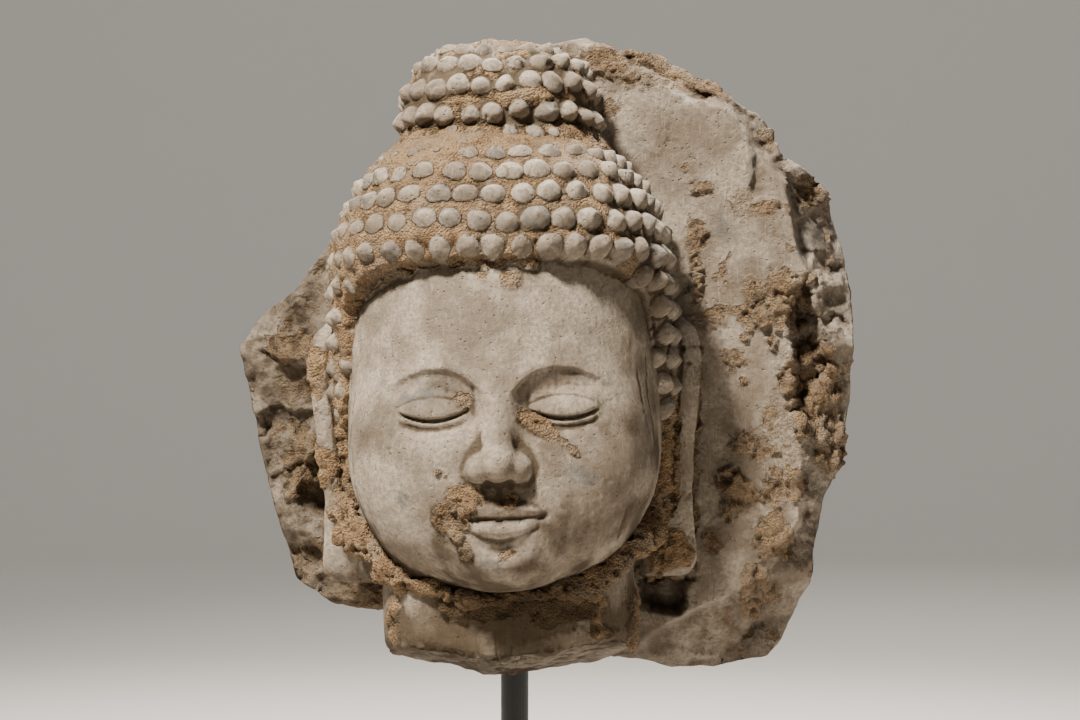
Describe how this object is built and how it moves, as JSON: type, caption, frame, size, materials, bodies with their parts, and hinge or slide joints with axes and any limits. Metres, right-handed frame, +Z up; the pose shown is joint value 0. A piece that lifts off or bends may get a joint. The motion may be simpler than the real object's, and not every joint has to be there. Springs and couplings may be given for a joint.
{
  "type": "stone buddha head",
  "caption": "Carved limestone head with snail-shell curls, still joined to a broken slab of backing, held up by a black post on a foot plate.",
  "frame": {"origin": "on the post's axis, at the underside of the foot plate", "axes": "+Z up, -Y the way the face looks, +X to the viewer's right"},
  "size_m": [0.365, 0.227, 0.49],
  "materials": {
    "limestone": "carved grey-buff limestone, worn matt, with tan grainy burial crust in patches",
    "black_paint": "satin black paint on steel"
  },
  "bodies": {
    "root": {"stone": "limestone", "post": "black_paint", "foot": "black_paint"}
  },
  "joints": []
}
